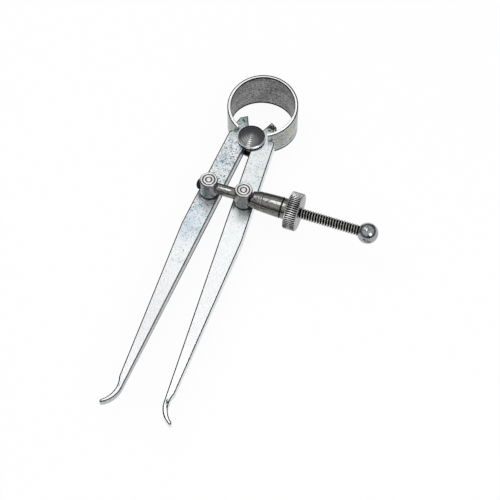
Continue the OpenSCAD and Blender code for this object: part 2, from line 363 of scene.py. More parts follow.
def leg_outline():
    """Closed outline of a leg before it is opened, anticlockwise from the roller seat: down the inner edge,
    round the foot's convex side, its nib and its hollow, up the outer edge, round the shoulder, into the
    notch for the bow, round the hook and back along the roller seat. Also gives the indices of the points
    where the faces bend."""
    bow = BOW_RISE * np.array([np.sin(LEG_OPEN), np.cos(LEG_OPEN)])
    notch = NOTCH_ANGLE - LEG_OPEN - np.pi / 2
    hook_root = HOOK_ROOT_ANGLE - LEG_OPEN - np.pi / 2
    shoulder_x = LEG_OUTER - SHOULDER_RADIUS
    outside = BOW_RADIUS + NOTCH_FIT
    inside = BOW_INNER - NOTCH_FIT
    shoulder_y = bow[1] - np.sqrt((outside + SHOULDER_RADIUS) ** 2 - (shoulder_x - bow[0]) ** 2)
    shoulder = np.array([shoulder_x, shoulder_y])
    to_bow = np.arctan2(*(bow - shoulder)[::-1])
    seat_low = -np.arccos(LEG_HALF_GAP / ROLLER_SEAT)

    centre = np.array([LEG_HALF_GAP + FOOT_BEND_RADIUS, -FOOT_START])
    shift = (ANKLE_WIDTH - NIB_WIDTH) / (1 - np.cos(FOOT_TURN))
    hollow = centre + [shift, 0]
    hollow_radius = FOOT_BEND_RADIUS + shift - ANKLE_WIDTH
    nib = centre - (FOOT_BEND_RADIUS - NIB_WIDTH / 2) * np.array([np.cos(FOOT_TURN), np.sin(FOOT_TURN)])
    nib_side = nib + NIB_WIDTH / 2 * np.array([np.cos(FOOT_TURN), np.sin(FOOT_TURN)])
    hollow_end = np.arctan2(*(nib_side - hollow)[::-1]) % (2 * np.pi)
    # the hollow meets the tapered edge where a ray back along that edge crosses its circle
    edge_low = np.array([LEG_HALF_GAP + SHANK_END_WIDTH, -FOOT_START])
    edge_high = np.array([LEG_OUTER, -TAPER_START])
    edge = (edge_high - edge_low) / np.linalg.norm(edge_high - edge_low)
    away = edge_low - hollow
    along = -away @ edge + np.sqrt((away @ edge) ** 2 - away @ away + hollow_radius ** 2)
    meet = edge_low + along * edge
    hollow_start = np.arctan2(*(meet - hollow)[::-1]) % (2 * np.pi)

    seat_start = [LEG_HALF_GAP, -np.sqrt(ROLLER_SEAT ** 2 - LEG_HALF_GAP ** 2)]
    foot_of_hook = ROLLER_SEAT * np.array([np.sin(HOOK_FOOT_ANGLE), np.cos(HOOK_FOOT_ANGLE)])
    inner_top = foot_of_hook + HOOK_LENGTH * np.array([np.sin(HOOK_LEAN), np.cos(HOOK_LEAN)])
    outer_top = inner_top + HOOK_TOP * np.array([np.cos(HOOK_TOP_SLOPE), -np.sin(HOOK_TOP_SLOPE)])
    stretches = [
        [seat_start],
        [[LEG_HALF_GAP, -FACE_TAPER_START]],
        arc(centre, FOOT_BEND_RADIUS, np.pi, np.pi + FOOT_TURN, 28),
        arc(nib, NIB_WIDTH / 2, np.pi + FOOT_TURN, 2 * np.pi + FOOT_TURN, 14)[1:-1],
        arc(hollow, hollow_radius, hollow_end, np.pi, 24)[:-1],
        [hollow - [hollow_radius, 0]],
        arc(hollow, hollow_radius, np.pi, hollow_start, 10)[1:],
        [edge_high],
        [[LEG_OUTER, -FACE_TAPER_START]],
        arc(shoulder, SHOULDER_RADIUS, 0, to_bow, 12),
        arc(bow, outside, to_bow - np.pi, notch, 6)[1:],
        arc(bow, inside, notch, hook_root, 8),
        [outer_top],
        [inner_top],
        arc([0, 0], ROLLER_SEAT, np.pi / 2 - HOOK_FOOT_ANGLE, seat_low, 24)[:-1],
    ]
    starts = np.cumsum([0] + [len(s) for s in stretches])
    bends = {"inner_face": starts[1], "inner_foot": starts[2],
             "outer_foot": starts[5], "outer_face": starts[8]}
    return np.concatenate([np.asarray(s, float) for s in stretches]), bends


def inset(outline, distance):
    """Outline moved inward: each point goes along the mitre of its edges, so edges keep their distance."""
    ahead = np.roll(outline, -1, 0) - outline
    ahead /= np.linalg.norm(ahead, axis=1)[:, None]
    back = np.roll(ahead, 1, 0)
    normal_ahead = np.stack([-ahead[:, 1], ahead[:, 0]], 1)
    normal_back = np.stack([-back[:, 1], back[:, 0]], 1)
    mitre = normal_ahead + normal_back
    mitre /= np.maximum(1 + np.sum(normal_ahead * normal_back, 1), MITRE_LIMIT)[:, None]
    return outline + distance * mitre


def leg(name, side):
    """Leg plate: its outline carried from the rear face over a quarter-round edge, up the side and over
    another to the front face. At an angle t round the edge it lies inward by r (1 - sin t) and back by
    r (1 - cos t). Half the thickness is level to the taper, falls evenly to the ankle and stays level in
    the foot, so that each face is three flat panels."""
    outline, bends = leg_outline()
    half = half_leg(-outline[:, 1])
    pull = LEG_EDGE_ROUND * (1 - np.sin(LEG_EDGE_STEPS))
    drop = LEG_EDGE_ROUND * (1 - np.cos(LEG_EDGE_STEPS))
    pulls = np.concatenate([pull, [0], pull[::-1]])
    drops = [*drop, LEG_EDGE_ROUND + side_line(-outline[:, 1]), *drop[::-1]]
    signs = np.repeat([-1, 1], [len(drop) + 1, len(drop)])
    points = np.array([np.column_stack([inset(outline, distance), sign * (half - fall)])
                       for distance, fall, sign in zip(pulls, drops, signs)])
    count = len(outline)
    faces = grid_faces(len(points), count).tolist()
    inner_face, inner_foot = bends["inner_face"], bends["inner_foot"]
    outer_foot, outer_face = bends["outer_foot"], bends["outer_face"]
    panels = [
        list(range(0, inner_face + 1)) + list(range(outer_face, count)),
        list(range(inner_face, inner_foot + 1)) + list(range(outer_foot, outer_face + 1)),
        list(range(inner_foot, outer_foot + 1)),
    ]
    last = (len(points) - 1) * count
    faces += panels + [[i + last for i in panel] for panel in panels]
    flat = points.reshape(-1, 3)
    x = flat[:, 0] * np.cos(LEG_OPEN) - flat[:, 1] * np.sin(LEG_OPEN)
    y = flat[:, 0] * np.sin(LEG_OPEN) + flat[:, 1] * np.cos(LEG_OPEN)
    piece = new_object(name, np.column_stack([side * x, y, flat[:, 2]]) + FULCRUM, faces)
    bore = np.array([side * POST_X, POST_Y, 0]) + FULCRUM
    return cut(piece, rod("bore", STEM_DIAMETER / 2 + RUNNING_FIT, bore, LEG_THICKNESS, "Z"))


def half_leg(along):
    """Half the leg's thickness at a distance along it: level, evenly down to the foot's, then level."""
    return np.interp(along, [FACE_TAPER_START, FOOT_START], [HALF_LEG, FOOT_THICKNESS / 2])


def side_line(along):
    """Height of the line of painted shade at the foot of a leg's side: level, then thinner evenly down the
    shank.
    """
    return np.interp(along, [FACE_TAPER_START, LEG_LINE_END], [LEG_LINE, LEG_LINE_LEAST])


def rod(name, radius, centre, half_length, along):
    """Plain cylinder for cutting, both ways from its centre along an axis."""
    profile = [(0, -half_length), (radius, -half_length), (radius, half_length), (0, half_length)]
    return turned(name, profile, centre, along, segments=ROD_SEGMENTS)


def leg_faces(centres, normals):
    """Broad faces are plated and sides are ground. The black and grey are painted shade: where an edge is
    turned up or left, two steps of its rounding are black, and elsewhere one. On the left leg's shank that
    one is grey, and the side has a black line at its foot."""
    level = np.abs(normals[:, 2])
    shaded = normals[:, 1] > normals[:, 0]
    flat = centres - FULCRUM
    along = np.abs(flat[:, 0]) * np.sin(LEG_OPEN) - flat[:, 1] * np.cos(LEG_OPEN)
    lined = ~shaded & (flat[:, 0] < 0) & (along < LEG_LINE_END)
    on_line = lined & (flat[:, 2] < LEG_EDGE_ROUND + side_line(along) - half_leg(along))
    on_edge = level > np.where(shaded, SHADED_EDGE_LEVEL, LIT_EDGE_LEVEL)
    return np.select([level > FACE_LEVEL, on_line, lined & on_edge, on_edge], [0, 2, 3, 2], 1)


# Bow spring

def bow_half(name, side):
    """Half of the bow: a rounded strip section carried from the top of the ring down to the prong tip, then
    slotted for the leg's neck. A point at angle a from the gap's middle lies at radius r, toward (sin a,
    -cos a). Both rims close in evenly from the top to the tips. The front outer edge is rounder toward the
    top: the section goes from one with that edge square past one with it rounded evenly."""
    corners = [(BOW_INNER, BOW_LINE), (BOW_INNER, 0), (BOW_RADIUS, 0),
               (BOW_RADIUS, BOW_LINE), (BOW_RADIUS, BOW_WIDTH), (BOW_INNER, BOW_WIDTH),
               (BOW_INNER, BOW_WIDTH - BOW_FRONT_LINE)]
    rounds = np.array([[0, BOW_INNER_ROUND, BOW_OUTER_ROUND, 0, front, BOW_INNER_ROUND, 0]
                       for front in (0, BOW_OUTER_ROUND)])
    square, even = (rounded(corners, each, closed=True) for each in rounds)
    angle = np.linspace(np.pi, PRONG_ANGLE, 90)[:, None]
    softer = front_round(angle)[..., None] / BOW_OUTER_ROUND
    radius, height = np.moveaxis(square + softer * (even - square), -1, 0)
    y = -radius * np.cos(angle)
    close_in = rim_rise(y)
    z = height + np.where(height < BOW_WIDTH / 2, close_in, -close_in)
    points = np.stack([side * radius * np.sin(angle), y, z], -1)
    rows, cols = points.shape[:2]
    faces = grid_faces(rows, cols).tolist()
    faces += [list(range(cols)), list(range((rows - 1) * cols, rows * cols))]
    piece = new_object(name, points.reshape(-1, 3), faces)
    return cut(piece, slot_block(side))


def front_round(angle):
    """Rounding of the bow's front outer edge: it grows with the cube of the height round the ring."""
    return BOW_OUTER_ROUND + (BOW_TOP_ROUND - BOW_OUTER_ROUND) * ((1 - np.cos(angle)) / 2) ** 3


def rim_rise(y):
    """How far the bow's lower rim has risen at a place along Y: from none at the top, evenly to the tips."""
    return (BOW_WIDTH - BOW_END_WIDTH) / 2 * (BOW_RADIUS - y) / (BOW_RADIUS * (1 + np.cos(PRONG_ANGLE)))


def slot_block(side):
    """Block between a prong's sides: one face is on the ray at the slot's floor, the rest passes the tip."""
    floor = NOTCH_ANGLE + NOTCH_FIT / BOW_INNER
    ray = np.array([np.sin(floor), -np.cos(floor)])
    across = np.array([-np.cos(floor), -np.sin(floor)])
    near = np.array([BOW_INNER * (1 - SLOT_MARGIN) * ray, BOW_RADIUS * (1 + SLOT_MARGIN) * ray])
    flat = np.concatenate([near, near[::-1] + SLOT_BLOCK * across])
    low, high = LEG_MID_Z - HALF_LEG - NOTCH_FIT, LEG_MID_Z + HALF_LEG + NOTCH_FIT
    points = [np.column_stack([side * flat[:, 0], flat[:, 1], np.full(4, z)]) for z in (low, high)]
    faces = grid_faces(2, 4).tolist() + [[0, 1, 2, 3], [4, 5, 6, 7]]
    return new_object("slot", np.concatenate(points), faces)


def bow_faces(centres, normals):
    """Rims and ends are bright, the inside is dark, the outside is polished, and the rounded edges and lines
    along the lower edges and the front inner one are black, painted shade."""
    radius = np.linalg.norm(centres[:, :2], axis=1)
    outward = np.sum(centres[:, :2] * normals[:, :2], 1) / radius
    level = np.abs(normals[:, 2])
    angle = np.arctan2(np.abs(centres[:, 0]), -centres[:, 1])
    on_edge = ((radius > BOW_RADIUS - front_round(angle)) & (level > OUTER_EDGE_LEVEL)
               | (radius < BOW_INNER + BOW_INNER_ROUND) & (level > INNER_EDGE_LEVEL))
    rise = rim_rise(centres[:, 1])
    on_line = ((centres[:, 2] < rise + BOW_LINE) & (np.abs(outward) > WALL_FACING)
               | (centres[:, 2] > BOW_WIDTH - rise - BOW_FRONT_LINE) & (outward < -WALL_FACING))
    return np.select([on_line, outward > OUTSIDE_FACING, outward < -WALL_FACING, on_edge], [3, 2, 1, 3], 0)


# Fulcrum and posts

def fulcrum_stud():
    """Stud turned about the swing axis: tail, roller between the legs, and a domed head with fine rings
    round a pip. The dome falls with the square of the radius."""
    bottom = HALF_LEG + SIDE_FIT
    top = bottom + FULCRUM_HEAD_THICKNESS
    cap = -bottom - REAR_CAP_THICKNESS
    rim = FULCRUM_HEAD / 2
    radius = np.linspace(rim - HEAD_EDGE, 0, 140)
    crown = top - HEAD_DOME * (radius / rim) ** 2 - HEAD_RING_DEPTH * head_rings(radius)
    tail = TAIL_DIAMETER / 2
    roller = ROLLER_DIAMETER / 2
    lower = [(0, cap), (tail, cap), (tail, -bottom), (roller, -bottom), (roller, bottom), (rim, bottom),
             (rim, bottom + FULCRUM_HEAD_THICKNESS * HEAD_DARK_SHARE),
             (rim, top - HEAD_DOME - HEAD_EDGE), (rim - HEAD_EDGE, crown[0])]
    profile = np.concatenate([rounded(lower, STUD_EDGE), np.column_stack([radius[1:], crown[1:]])])
    return paint(turned("fulcrum_stud_turned", profile, FULCRUM), stud_depth)


def head_rings(radius):
    """Turned rings of the fulcrum head: 0 on the lands and 1 in the grooves, from the pip to the rim."""
    rings = wave((radius - HEAD_PIP) / HEAD_RING_SPACING) ** 2
    return np.where((radius > HEAD_PIP) & (radius < FULCRUM_HEAD / 2 - 2 * HEAD_EDGE), rings, 0)


def stud_depth(points):
    """Grooves and the pip of the fulcrum head, for the painted highlight on them."""
    flat = points - FULCRUM
    radius = np.hypot(flat[:, 0], flat[:, 1])
    on_head = flat[:, 2] > HALF_LEG + SIDE_FIT + FULCRUM_HEAD_THICKNESS - HEAD_DOME - HEAD_EDGE
    pip = np.exp(-(radius / HEAD_PIP) ** 2)
    return on_head * np.maximum(HEAD_RING_PAINT * head_rings(radius), HEAD_PIP_PAINT * pip)


def stud_faces(centres, normals):
    """The head's rim is bright at the top, a painted highlight, and black below, painted shade under the
    head; all else is dark.
    """
    flat = centres - FULCRUM
    on_rim = np.hypot(flat[:, 0], flat[:, 1]) > FULCRUM_HEAD / 2 - HEAD_EDGE
    height = (flat[:, 2] - HALF_LEG - SIDE_FIT) / FULCRUM_HEAD_THICKNESS
    return np.select([on_rim & (height > HEAD_DARK_SHARE), on_rim & (height > HEAD_RIM_START)], [1, 2], 0)


def rear_cap():
    """Cap riveted behind the legs: a rounded ring with the stud's tail in its middle."""
    top = -HALF_LEG - SIDE_FIT
    low = top - REAR_CAP_THICKNESS
    rim = REAR_CAP_DIAMETER / 2
    tail = TAIL_DIAMETER / 2
    section = [(tail, low), (rim - TURNED_EDGE, low), (rim, low + TURNED_EDGE), (rim, top), (tail, top)]
    profile = rounded(section, REAR_CAP_EDGE, closed=True)
    return turned("fulcrum_rear_cap_turned", profile, FULCRUM, hollow=True)


def post(name, side, hole_radius):
    """Post turned about its own axis, from the riveted end up to a head with two grooves round its middle,
    and then drilled across for the screw."""
    stem_bottom = -HALF_LEG - 2 * SIDE_FIT - WASHER_THICKNESS
    rivet = RIVET_DIAMETER / 2
    body = POST_DIAMETER / 2
    stem = STEM_DIAMETER / 2
    low = HALF_LEG + SIDE_FIT
    top = HALF_LEG + POST_HEIGHT
    radius = np.linspace(body - TURNED_EDGE - POST_HEAD_STEP, 0, 90)
    head = top - POST_RING_DEPTH * post_rings(radius)
    lower = [(0, stem_bottom - RIVET_HEIGHT), (rivet - RIVET_HEIGHT / 2, stem_bottom - RIVET_HEIGHT),
             (rivet, stem_bottom - RIVET_HEIGHT / 2), (rivet, stem_bottom), (stem, stem_bottom), (stem, low),
             (body, low), (body, low + POST_FOOT), (body, top - TURNED_EDGE), (body - TURNED_EDGE, top)]
    profile = np.concatenate([rounded(lower, POST_EDGE), np.column_stack([radius, head])])
    centre = np.array([side * POST_X, POST_Y, 0]) + FULCRUM
    piece = turned(name, profile, centre)
    across = centre + [0, 0, HALF_LEG + SCREW_HEIGHT]
    piece = cut(piece, rod("drill", hole_radius, across, POST_DIAMETER, "X"))
    # The head's grooves take the dark depth colour: painted shade
    level = FULCRUM[2] + top - 2 * POST_RING_DEPTH
    return paint(piece, lambda points: (points[:, 2] > level) * post_rings(
        np.hypot(points[:, 0] - centre[0], points[:, 1] - centre[1])))


def post_rings(radius):
    """Two turned grooves of a post's head: 0 on the lands and 1 in the grooves, by exp(-d^4) of the
    distance d from the nearer groove in widths."""
    return np.exp(-((radius[:, None] - POST_RINGS) / POST_RING_WIDTH) ** 4).max(1)


def post_faces(centres, normals):
    """The flat of the head is bright, its chamfer and the body below it are grey, and the foot is black, a
    painted shadow where the post meets the leg.
    """
    flat = centres - FULCRUM
    reach = np.hypot(np.abs(flat[:, 0]) - POST_X, flat[:, 1] - POST_Y)
    on_head = flat[:, 2] > HALF_LEG + POST_HEIGHT - 2 * POST_RING_DEPTH
    at_foot = flat[:, 2] < HALF_LEG + SIDE_FIT + POST_FOOT
    return np.select([on_head & (reach < POST_DIAMETER / 2 - TURNED_EDGE), at_foot], [0, 2], 1)


def post_washer(name, side):
    """Washer behind a leg: a rounded ring round the stem."""
    low = -HALF_LEG - 2 * SIDE_FIT - WASHER_THICKNESS
    high = low + WASHER_THICKNESS + SIDE_FIT
    rim = WASHER_DIAMETER / 2
    stem = STEM_DIAMETER / 2
    profile = rounded([(stem, low), (rim, low), (rim, high), (stem, high)], WASHER_EDGE, closed=True)
    return turned(name, profile, np.array([side * POST_X, POST_Y, 0]) + FULCRUM, hollow=True)


# Screw, ball, sleeve and nut

def adjusting_screw():
    """Screw about its own axis: a quarter-ellipse end, plain at the left post, then a right-hand thread. On
    the thread the radius falls from the crest by a flattened triangle wave of place / pitch - turn, and the
    thread fades in over one pitch."""
    left = -POST_X - POST_DIAMETER / 2 - SCREW_STUB
    right = BALL_REACH - BALL_DIAMETER / 2 + BALL_SEAT
    segments = 56
    crest = SCREW_DIAMETER / 2
    dome = np.linspace(0, np.pi / 2, 10)
    plain = np.concatenate([left + SCREW_STUB * (1 - np.cos(dome)), [-POST_X, 0, THREAD_START]])
    plain_radius = np.concatenate([crest * np.sin(dome), [crest, crest, crest]])
    threaded = np.arange(THREAD_START, right, THREAD_PITCH / 10)[1:]
    place_along = np.concatenate([plain, threaded, [right, right]])
    radius = np.concatenate([plain_radius, np.full(len(threaded), crest), [crest - THREAD_DEPTH, 0]])
    turn = np.linspace(0, 2 * np.pi, segments, endpoint=False)
    phase = place_along[:, None] / THREAD_PITCH - turn / (2 * np.pi)
    cut_in = np.clip((place_along - THREAD_START) / THREAD_PITCH, 0, 1)[:, None]
    groove = np.clip(THREAD_FLANK * wave(phase) - THREAD_CREST, 0, 1) * cut_in
    groove[-2:] = 0
    reach = radius[:, None] - THREAD_DEPTH * groove
    points = np.stack([place_along[:, None] + 0 * turn, reach * np.cos(turn), reach * np.sin(turn)], -1)
    faces = grid_faces(len(place_along), segments).tolist()
    # Painted shade in the thread's grooves, written as the depth attribute
    shade = np.clip((groove - THREAD_SHADE_START) / THREAD_SHADE_RANGE, 0, 1)
    return new_object("adjusting_screw_threaded", points.reshape(-1, 3) + SCREW_AXIS, faces, shade.ravel())


def screw_faces(centres, normals):
    """The stub is darkest, black with painted shade, the shank between the posts is plain and dark, and the
    rest has the thread.
    """
    stub = centres[:, 0] < -POST_X
    return np.select([stub, centres[:, 0] < THREAD_START], [2, 1], 0)


def ball_end():
    """Ball on the screw's end: a circle's profile from the seat round the screw to the far pole."""
    radius = BALL_DIAMETER / 2
    opening = np.arcsin(SCREW_DIAMETER / 2 / radius)
    angle = np.linspace(opening, np.pi, 60)
    shell = np.column_stack([radius * np.sin(angle), -radius * np.cos(angle)])
    seat = [(0, BALL_SEAT - radius), (SCREW_DIAMETER / 2, BALL_SEAT - radius)]
    return turned("ball_end_polished", np.concatenate([seat, shell]), SCREW_AXIS + [BALL_REACH, 0, 0], "X")


def thrust_sleeve():
    """Sleeve about the screw: a straight cone at the post, two fine grooves, a slighter taper to the mouth,
    and inside it the nut's tapered socket."""
    rise = np.linspace(0, 1, 14)
    nose = np.column_stack([
        SLEEVE_NOSE / 2 + (SLEEVE_SHOULDER - SLEEVE_NOSE) / 2 * rise,
        SLEEVE_START + SLEEVE_NOSE_LENGTH * rise,
    ])
    place_along = np.linspace(SLEEVE_START + SLEEVE_NOSE_LENGTH, SLEEVE_END - JOINT_BEVEL, 120)[1:]
    share = (place_along - place_along[0]) / (SLEEVE_END - place_along[0])
    from_groove = (place_along[:, None] - SLEEVE_START - SLEEVE_GROOVES) / SLEEVE_GROOVE_WIDTH
    grooves = SLEEVE_GROOVE_DEPTH * np.exp(-from_groove ** 2).sum(1)
    taper = SLEEVE_SHOULDER / 2 + (SLEEVE_MOUTH - SLEEVE_SHOULDER) / 2 * share - grooves
    inside = [(SLEEVE_MOUTH / 2 - JOINT_BEVEL, SLEEVE_END), (NOSE_WIDE + RUNNING_FIT, SLEEVE_END),
              (NOSE_NARROW + RUNNING_FIT, SOCKET_START), (BORE_RADIUS, SOCKET_START),
              (BORE_RADIUS, SLEEVE_START)]
    profile = np.concatenate([nose, np.column_stack([taper, place_along]), inside])
    return turned("thrust_sleeve_turned", profile, SCREW_AXIS, "X", hollow=True)


def adjusting_nut():
    """Nut about the screw: nose in the sleeve, neck and knurled disc. On the disc's rim two families of V
    grooves wind opposite ways, and the radius falls by the deeper of their triangle waves, which leaves
    diamonds."""
    rim = NUT_DIAMETER / 2
    segments = KNURL_TEETH * 8
    neck = NECK_DIAMETER / 2
    left = [(BORE_RADIUS, SOCKET_START + NOSE_GAP), (NOSE_NARROW, SOCKET_START + NOSE_GAP),
            (NOSE_WIDE, NECK_START), (neck - JOINT_BEVEL, NECK_START), (neck, NECK_START + JOINT_BEVEL),
            (neck, DISC_START), (rim - TURNED_EDGE, DISC_START), (rim, DISC_START + TURNED_EDGE)]
    band = np.linspace(DISC_START + TURNED_EDGE, DISC_END - TURNED_EDGE, 36)
    right = [(rim, DISC_END - TURNED_EDGE), (rim - TURNED_EDGE - NUT_CORNER, DISC_END),
             (BORE_RADIUS + BORE_CHAMFER, DISC_END), (BORE_RADIUS, DISC_END - BORE_CHAMFER)]
    left, right = rounded(left, NUT_CORNER), rounded(right, NUT_CORNER)
    radius = np.concatenate([left[:, 0], np.full(len(band), rim), right[:, 0]])
    place_along = np.concatenate([left[:, 1], band, right[:, 1]])
    turn = np.linspace(0, 2 * np.pi, segments, endpoint=False)
    around = KNURL_TEETH * turn / (2 * np.pi)
    slant = (place_along[:, None] - (DISC_START + DISC_END) / 2) / KNURL_PITCH
    groove = np.maximum(1 - wave(around + slant), 1 - wave(around - slant))
    inside = np.minimum(place_along - DISC_START, DISC_END - place_along) / TURNED_EDGE
    on_rim = np.clip(inside * 2, 0, 1) * (radius > rim - TURNED_EDGE * KNURL_RIM_SHARE)
    groove *= on_rim[:, None]
    reach = radius[:, None] - KNURL_DEPTH * groove ** 2
    # Painted shade in the knurl's grooves, written as the depth attribute
    shade = np.clip((groove - KNURL_SHADE_START) / KNURL_SHADE_RANGE, 0, 1)
    points = np.stack([place_along[:, None] + 0 * turn, reach * np.cos(turn), reach * np.sin(turn)], -1)
    faces = grid_faces(len(place_along), segments, True).tolist()
    return new_object("adjusting_nut_knurled", points.reshape(-1, 3) + SCREW_AXIS, faces, shade.ravel())


def nut_faces(centres, normals):
    """The rim is knurled between smooth edges, the neck is gunmetal with a black joint, and flat faces
    are grey."""
    flat = centres - SCREW_AXIS
    reach = np.hypot(flat[:, 1], flat[:, 2])
    on_rim = (reach > NUT_DIAMETER / 2 - TURNED_EDGE - KNURL_DEPTH) & (np.abs(normals[:, 0]) < FACE_LEVEL)
    at_edge = on_rim & (np.abs(flat[:, 0] - (DISC_START + DISC_END) / 2) > NUT_WIDTH / 2 - TURNED_EDGE)
    at_joint = flat[:, 0] < NECK_START + JOINT_BEVEL
    on_neck = (flat[:, 0] < DISC_START) & (np.abs(normals[:, 0]) < WALL_FACING)
    return np.select([at_edge, on_rim, at_joint, on_neck], [4, 0, 3, 2], 1)


def sleeve_faces(centres, normals):
    """The bevel and the mouth at the joint with the nut are black, and all else is gunmetal."""
    return centres[:, 0] > SLEEVE_END - JOINT_BEVEL


# Finishes

FLECK_SPREAD = 0.5
FLECK_TOP = 0.72
FLECK_SOFTNESS = 0.12
BUMP_DEPTH = 0.05 * MM


def add(tree, kind, values=None, **settings):
    """New shader node with its settings and socket values."""
    made = tree.nodes.new(kind)
    for name, value in settings.items():
        setattr(made, name, value)
    for name, value in (values or {}).items():
        made.inputs[name].default_value = value
    return made


def new_group(name, inputs, outputs):
    """Empty node group with named sockets; inputs give a type and a start value."""
    tree = bpy.data.node_groups.new(name, "ShaderNodeTree")
    for label, (kind, value) in inputs.items():
        socket = tree.interface.new_socket(label, in_out="INPUT", socket_type=kind)
        if value is not None:
            socket.default_value = value
    for label, kind in outputs.items():
        tree.interface.new_socket(label, in_out="OUTPUT", socket_type=kind)
    return tree, tree.nodes.new("NodeGroupInput"), tree.nodes.new("NodeGroupOutput")


def fleck_group():
    """Flecks: noise above a threshold, softened, so that Cover is about their share of the surface."""
    tree, into, out = new_group("flecks", {
        "Vector": ("NodeSocketVector", None), "Scale": ("NodeSocketFloat", 900.0),
        "Cover": ("NodeSocketFloat", 0.4),
    }, {"Mask": "NodeSocketFloat"})
    noise = add(tree, "ShaderNodeTexNoise", {"Detail": 5.0, "Roughness": 0.72})
    level = add(tree, "ShaderNodeMath", {1: FLECK_SPREAD}, operation="MULTIPLY")
    low = add(tree, "ShaderNodeMath", {0: FLECK_TOP}, operation="SUBTRACT")
    high = add(tree, "ShaderNodeMath", {1: FLECK_SOFTNESS}, operation="ADD")
    spread = add(tree, "ShaderNodeMapRange", interpolation_type="SMOOTHSTEP")
    link = tree.links.new
    link(into.outputs["Vector"], noise.inputs["Vector"])
    link(into.outputs["Scale"], noise.inputs["Scale"])
    link(into.outputs["Cover"], level.inputs[0])
    link(level.outputs[0], low.inputs[1])
    link(low.outputs[0], high.inputs[0])
    link(noise.outputs["Fac"], spread.inputs["Value"])
    link(low.outputs[0], spread.inputs["From Min"])
    link(high.outputs[0], spread.inputs["From Max"])
    link(spread.outputs["Result"], out.inputs["Mask"])
    return tree


def grain_group():
    """Brushed grain: noise on coordinates stretched along one direction, as a height and a shade."""
    tree, into, out = new_group("brushed_grain", {
        "Vector": ("NodeSocketVector", None), "Stretch": ("NodeSocketVector", (1.0, 1.0, 1.0)),
        "Scale": ("NodeSocketFloat", 3000.0),
    }, {"Height": "NodeSocketFloat", "Shade": "NodeSocketFloat"})
    stretch = add(tree, "ShaderNodeVectorMath", operation="MULTIPLY")
    fine = add(tree, "ShaderNodeTexNoise", {"Detail": 3.0, "Roughness": 0.6})
    shade = add(tree, "ShaderNodeMapRange", {"From Min": 0.3, "From Max": 0.7})
    link = tree.links.new
    link(into.outputs["Vector"], stretch.inputs[0])
    link(into.outputs["Stretch"], stretch.inputs[1])
    link(stretch.outputs[0], fine.inputs["Vector"])
    link(into.outputs["Scale"], fine.inputs["Scale"])
    link(fine.outputs["Fac"], out.inputs["Height"])
    link(fine.outputs["Fac"], shade.inputs["Value"])
    link(shade.outputs["Result"], out.inputs["Shade"])
    return tree


FLECKS = fleck_group()
GRAIN = grain_group()
PATINA_SCALE = 160
PATINA_COVER = 0.5
PIT_SCALE = 800
PIT_COVER = 0.1
PIT_COLOUR = (0.03, 0.03, 0.03)
THIN_SHARE = 0.3
SPECK_SCALE = 1200

# Places along Y between which the legs' flecks thin out, so that painted shade darkens the legs toward the
# joint,
# and between which tints come in: the first darkens the lower legs as painted shade against the key lamp's
# reflection there, and the second darkens and greens the hooks
LEG_THIN_OUT = (-39, -112)
LEG_TINTS = ((-39, -112, (0.535, 0.525, 0.53)), (-13, -7, (0.56, 0.64, 0.58)))

# Specks: place, reach and cover at the middle. Patches of wear, painted highlight and painted sheen: place,
# reach, colour and blend
ANKLE_SPECKS = {"left": ((-9.4, -130.5, 10.5), 3.0, 0.55), "right": ((10.6, -132.5, 10.5), 3.4, 1.1)}
BOW_STREAK = ((13.1, -6.0, 12.2), 2.8, (1.0, 0.93, 0.62), "MULTIPLY")
# Painted highlight on the lower side of the fulcrum head
HEAD_HIGHLIGHT = ((0.3, -16.3, 13.9), 4.2, (0.26, 0.265, 0.262), "MIX")
# Painted sheen: a blue-grey patch of reflection on the left leg
LEG_SHEEN = {"left": [((-10.2, -60.0, 11.5), 11.0, (0.66, 0.75, 0.82), "MULTIPLY")], "right": []}
HOOK_SPECKS = {"left": ((-5.9, -6.2, 11.5), 4.5, 0.5), "right": ((5.9, -6.2, 11.5), 4.5, 0.85)}


def layer(tree, under, mask, colour, blend="MIX"):
    """Lays a colour over a socket or a plain colour by a mask, and gives the socket of the result."""
    mix = add(tree, "ShaderNodeMix", {"B": (*colour, 1)}, data_type="RGBA", blend_type=blend)
    if isinstance(under, tuple):
        mix.inputs["A"].default_value = (*under, 1)
    else:
        tree.links.new(under, mix.inputs["A"])
    tree.links.new(mask, mix.inputs["Factor"])
    return mix.outputs["Result"]


def near_place(tree, here, place_mm, reach, most=1.0):
    """Socket of a value that falls evenly with distance, from most at a place in mm to 0 at its reach."""
    away = add(tree, "ShaderNodeVectorMath", {1: np.array(place_mm) * MM}, operation="DISTANCE")
    fall = add(tree, "ShaderNodeMapRange", {"From Max": reach * MM, "To Min": most, "To Max": 0.0})
    tree.links.new(here, away.inputs[0])
    tree.links.new(away.outputs["Value"], fall.inputs["Value"])
    return fall.outputs["Result"]


